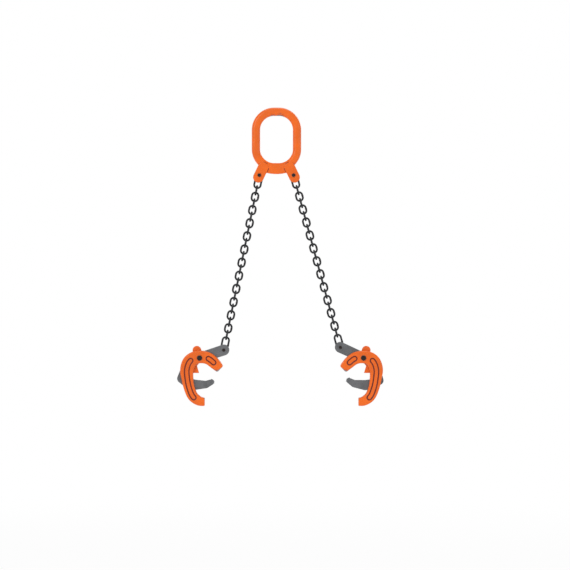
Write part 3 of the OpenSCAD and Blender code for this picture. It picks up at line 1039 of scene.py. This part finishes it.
def link_mesh(chain, inside):
    """One link, flat in the XZ plane, long way up, with the marks of its weld and its wear."""
    rings = []
    rub = []
    weld = []
    for point, way, crown, bead in link_line(chain, inside):
        radius = chain.wire / 2 + chain.weld_rise * bead
        ring = []
        for j in range(chain.round_steps):
            turn = 2 * math.pi * j / chain.round_steps
            across = math.cos(turn)
            ring.append(point + (way * across + Vector((0, math.sin(turn), 0))) * radius)
            rub.append(crown * max(0.0, -across) ** 2)
            weld.append(bead)
        rings.append(ring)
    mesh = tube_mesh("link", rings, closed=True)
    store(mesh, "rub", rub)
    store(mesh, "weld", weld)
    return mesh


def link_middles(chain):
    """How far down the leg the middle of each link lies."""
    first = -(chain.pin / 2 + chain.pin_play)
    second = first + chain.end_link - chain.link_play
    last = second + chain.pitch * (LINKS - 2)
    half = (chain.pitch + chain.link_play) / 2
    between = [second + chain.pitch * k + half for k in range(LINKS - 2)]
    return [first + chain.end_link / 2, *between, last + chain.end_link / 2]


class DRUMCLAMP_OT_chain(Build, bpy.types.Operator):
    """Makes the links of both chain legs, each pair as it moves"""

    bl_idname = "drum_clamp.chain"
    bl_label = "Chain"

    def build(self, scene):
        chain = scene.drum_clamp_chain
        short = link_mesh(chain, chain.pitch + chain.link_play)
        long = link_mesh(chain, chain.end_link)
        middles = link_middles(chain)
        for side in SIDES:
            top = pivot(f"{side}_leg_swing")
            leg = pivot(f"{side}_clamp_swing") - top
            down = Matrix.Translation(top) @ Matrix.Rotation(math.atan2(-leg.x, -leg.z), 4, "Y")
            for n in range(CHAIN_PIECES):
                node = f"{side}_chain_{n + 1:02d}"
                pair = []
                for k in range(2 * n, min(2 * n + 2, LINKS)):
                    mesh = (long if k in (0, LINKS - 1) else short).copy()
                    turn = Matrix.Rotation(math.pi / 2 * (k % 2), 4, "Z")
                    mesh.transform(down @ Matrix.Translation((0, 0, -middles[k])) @ turn)
                    pair.append(mesh)
                add_piece(f"{node}_links", joined_meshes(node, pair), node, "chain_dark", node)


# Stage
def floor_material(colours):
    """White floor that keeps the object's soft shadow and fades into the background far away."""
    s = Shader("floor_white")
    far = s.node("ShaderNodeVectorMath", {"operation": "LENGTH"}, {0: s.place()}, output="Value")
    white = (*linear(colours.background), 1)
    diffuse = s.node("ShaderNodeBsdfDiffuse", None, {"Color": white})
    glow = s.node("ShaderNodeEmission", None, {"Color": white, "Strength": 1.0})
    share = (far.between(*FLOOR_FADE) * (1 - FLOOR_GLOW) + FLOOR_GLOW) * s.seen()
    return s.finish(s.node("ShaderNodeMixShader", None, {0: share, 1: diffuse, 2: glow}))


def make_world(colours, level):
    """White behind the object, and an even pale light of a given level on it."""
    s = Shader("studio", "World")
    white = (*linear(colours.background), 1)
    inputs = {"Color": white, "Strength": s.seen() * (1 - level) + level}
    bpy.context.scene.world = s.finish(s.node("ShaderNodeBackground", None, inputs))


def add_lamp(name, place, side, power, target):
    lamp = bpy.data.lights.new(name, "AREA")
    lamp.size = side
    lamp.energy = power
    holder = add_object(name, lamp)
    holder.location = place
    holder.rotation_mode = "QUATERNION"
    holder.rotation_quaternion = (target - Vector(place)).to_track_quat("-Z", "Y")


def add_camera(stage):
    lens = bpy.data.cameras.new("camera")
    lens.lens = stage.focal / MM
    lens.sensor_width = SENSOR_WIDTH
    distance = stage.picture_width * lens.lens / lens.sensor_width
    lens.clip_start = distance / CLIP_RATIO
    lens.clip_end = distance * CLIP_RATIO
    camera = add_object("camera", lens)
    camera.location = (stage.picture_x, -distance, stage.picture_z)
    camera.rotation_euler = (math.pi / 2, 0, 0)
    bpy.context.scene.camera = camera


def add_floor(stage, colours):
    disc = bmesh.new()
    bmesh.ops.create_circle(disc, cap_ends=True, segments=FLOOR_STEPS, radius=stage.floor_radius)
    mesh = mesh_from_bmesh("floor", disc)
    mesh.transform(Matrix.Translation((0, 0, cad_box[0].z - stage.floor_drop)))
    mesh.materials.append(floor_material(colours))
    add_object("floor", mesh)


class DRUMCLAMP_OT_stage(Build, bpy.types.Operator):
    """Sets the camera, the floor, the lamps and the pale surroundings"""

    bl_idname = "drum_clamp.stage"
    bl_label = "Stage"

    def build(self, scene):
        stage = scene.drum_clamp_stage
        scene.view_settings.view_transform = "Standard"
        add_camera(stage)
        add_floor(stage, scene.drum_clamp_colours)
        make_world(scene.drum_clamp_colours, stage.surround)
        middle = (cad_box[0] + cad_box[1]) / 2
        for name, (place, side, power) in SOFT_BOXES.items():
            add_lamp(name, place, side, power, middle)


OPERATORS = (
    DRUMCLAMP_OT_stage,
    DRUMCLAMP_OT_lifting_eye,
    DRUMCLAMP_OT_hook_bodies,
    DRUMCLAMP_OT_latches,
    DRUMCLAMP_OT_levers,
    DRUMCLAMP_OT_pins,
    DRUMCLAMP_OT_chain,
)


class DRUMCLAMP_PT_panel(bpy.types.Panel):
    """Lists the pieces of the drum lifting clamp"""

    bl_idname = "DRUMCLAMP_PT_panel"
    bl_label = "Drum lifting clamp"
    bl_space_type = "VIEW_3D"
    bl_region_type = "UI"
    bl_category = "Drum clamp"

    def draw(self, context):
        for operator in OPERATORS:
            self.layout.operator(operator.bl_idname)


def register():
    for group in GROUPS.values():
        bpy.utils.register_class(group)
    for name, group in GROUPS.items():
        setattr(bpy.types.Scene, name, PointerProperty(type=group))
    for operator in OPERATORS:
        bpy.utils.register_class(operator)
    bpy.utils.register_class(DRUMCLAMP_PT_panel)


def unregister():
    bpy.utils.unregister_class(DRUMCLAMP_PT_panel)
    for operator in reversed(OPERATORS):
        bpy.utils.unregister_class(operator)
    for name, group in reversed(GROUPS.items()):
        delattr(bpy.types.Scene, name)
        bpy.utils.unregister_class(group)


def main():
    register()
    for operator in OPERATORS:
        family, name = operator.bl_idname.split(".")
        getattr(getattr(bpy.ops, family), name)()
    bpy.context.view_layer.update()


if __name__ == "__main__":
    main()
